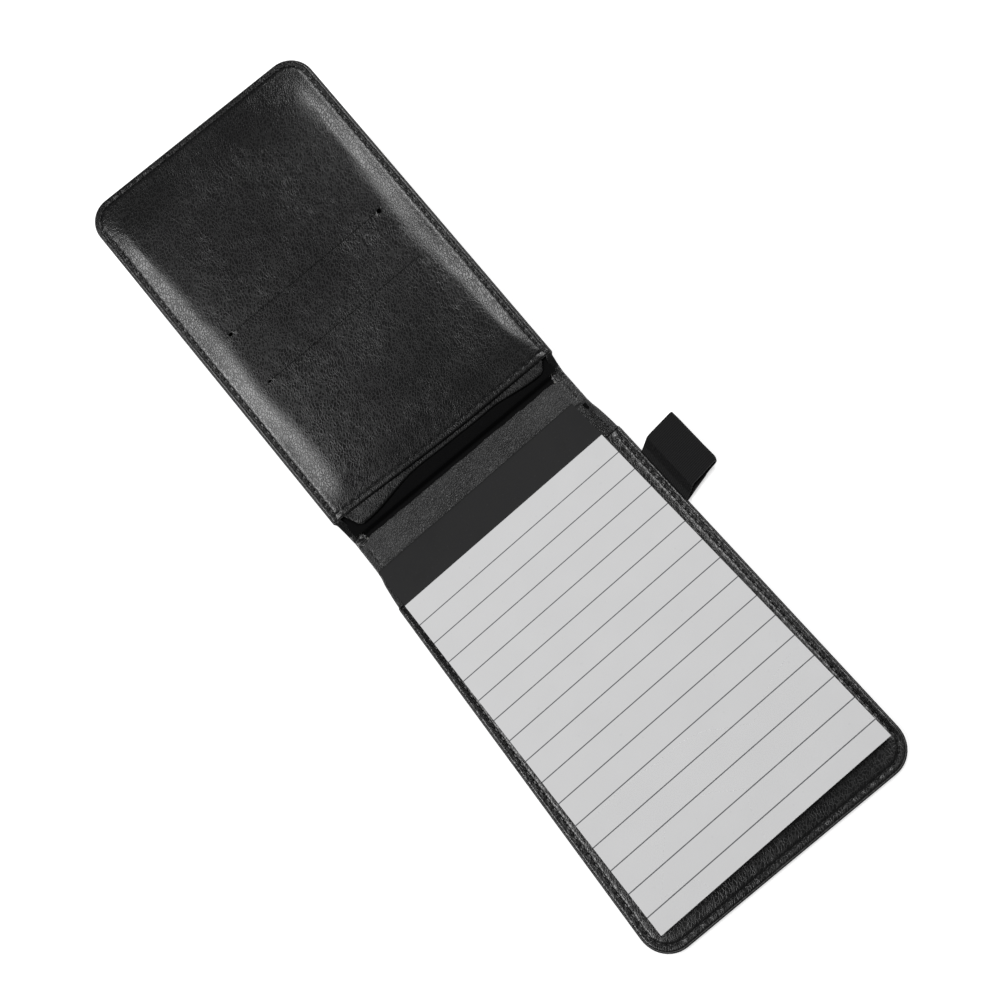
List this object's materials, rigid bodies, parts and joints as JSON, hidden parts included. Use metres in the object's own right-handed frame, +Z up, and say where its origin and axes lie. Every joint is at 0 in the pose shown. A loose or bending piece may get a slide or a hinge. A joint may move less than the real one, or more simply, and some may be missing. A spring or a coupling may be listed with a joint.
{
  "type": "pocket notebook",
  "caption": "Top-opening pocket notebook: a black leather cover with card slits and a pen loop, folding over a ruled memo pad.",
  "frame": {"origin": "centre of the back cover's underside, the face that rests on the table", "axes": "+Z up out of the back cover towards the pad, +Y from the foot of the pad over the spine towards the front cover, +X towards the pen loop"},
  "size_m": [0.0986, 0.2753, 0.0469],
  "materials": {
    "cover_leather": "semi-gloss black coated leather with a fine creased grain",
    "grained_leather": "matt black coated leather with an embossed pebble grain",
    "grey_board": "plain grey bookbinding board",
    "satin_lining": "smooth black satin-faced lining cloth",
    "sewing_thread": "black waxed polyester thread",
    "elastic_band": "black woven elastic",
    "pad_card": "grey chipboard backing card",
    "paper": "uncoated writing paper with feint ruled lines",
    "padding_glue": "flexible padding compound",
    "binding_tape": "smooth matt black binding tape"
  },
  "bodies": {
    "back_cover": {"back_outer_skin": "cover_leather", "back_board": "grey_board", "back_lining": "satin_lining", "head_facing": "grained_leather", "back_pocket_panel": "cover_leather", "back_edge_stitching": "sewing_thread", "pen_loop": "elastic_band", "pad_backing_card": "pad_card", "pad_sheets": "paper", "pad_glue": "padding_glue", "pad_head_tape": "binding_tape"},
    "spine": {"spine_outer_skin": "cover_leather", "spine_stiffener": "grey_board", "spine_lining": "satin_lining", "spine_facing": "grained_leather", "spine_edge_stitching": "sewing_thread"},
    "front_cover": {"front_outer_skin": "cover_leather", "front_board": "grey_board", "front_lining": "satin_lining", "pocket_backing": "cover_leather", "lower_card_bag": "satin_lining", "upper_card_bag": "satin_lining", "front_pocket_panel": "cover_leather", "front_edge_stitching": "sewing_thread", "hem_stitching": "sewing_thread"},
    "top_leaf": {"top_sheet": "paper"}
  },
  "joints": [
    {"name": "spine_crease", "type": "hinge", "parent": "back_cover", "child": "spine", "pos_m": [0, 0.0676, 0.0005], "axis": [-1, 0, 0], "range_deg": [-81, 9]},
    {"name": "cover_crease", "type": "hinge", "parent": "spine", "child": "front_cover", "pos_m": [0, 0.07896, 0.0023], "axis": [-1, 0, 0], "range_deg": [-81, 9]},
    {"name": "leaf_flip", "type": "hinge", "parent": "back_cover", "child": "top_leaf", "pos_m": [-0.00161, 0.0514, 0.0079], "axis": [-0.9997, -0.023, 0], "range_deg": [0, 165], "deforming": ["top_sheet"]}
  ]
}
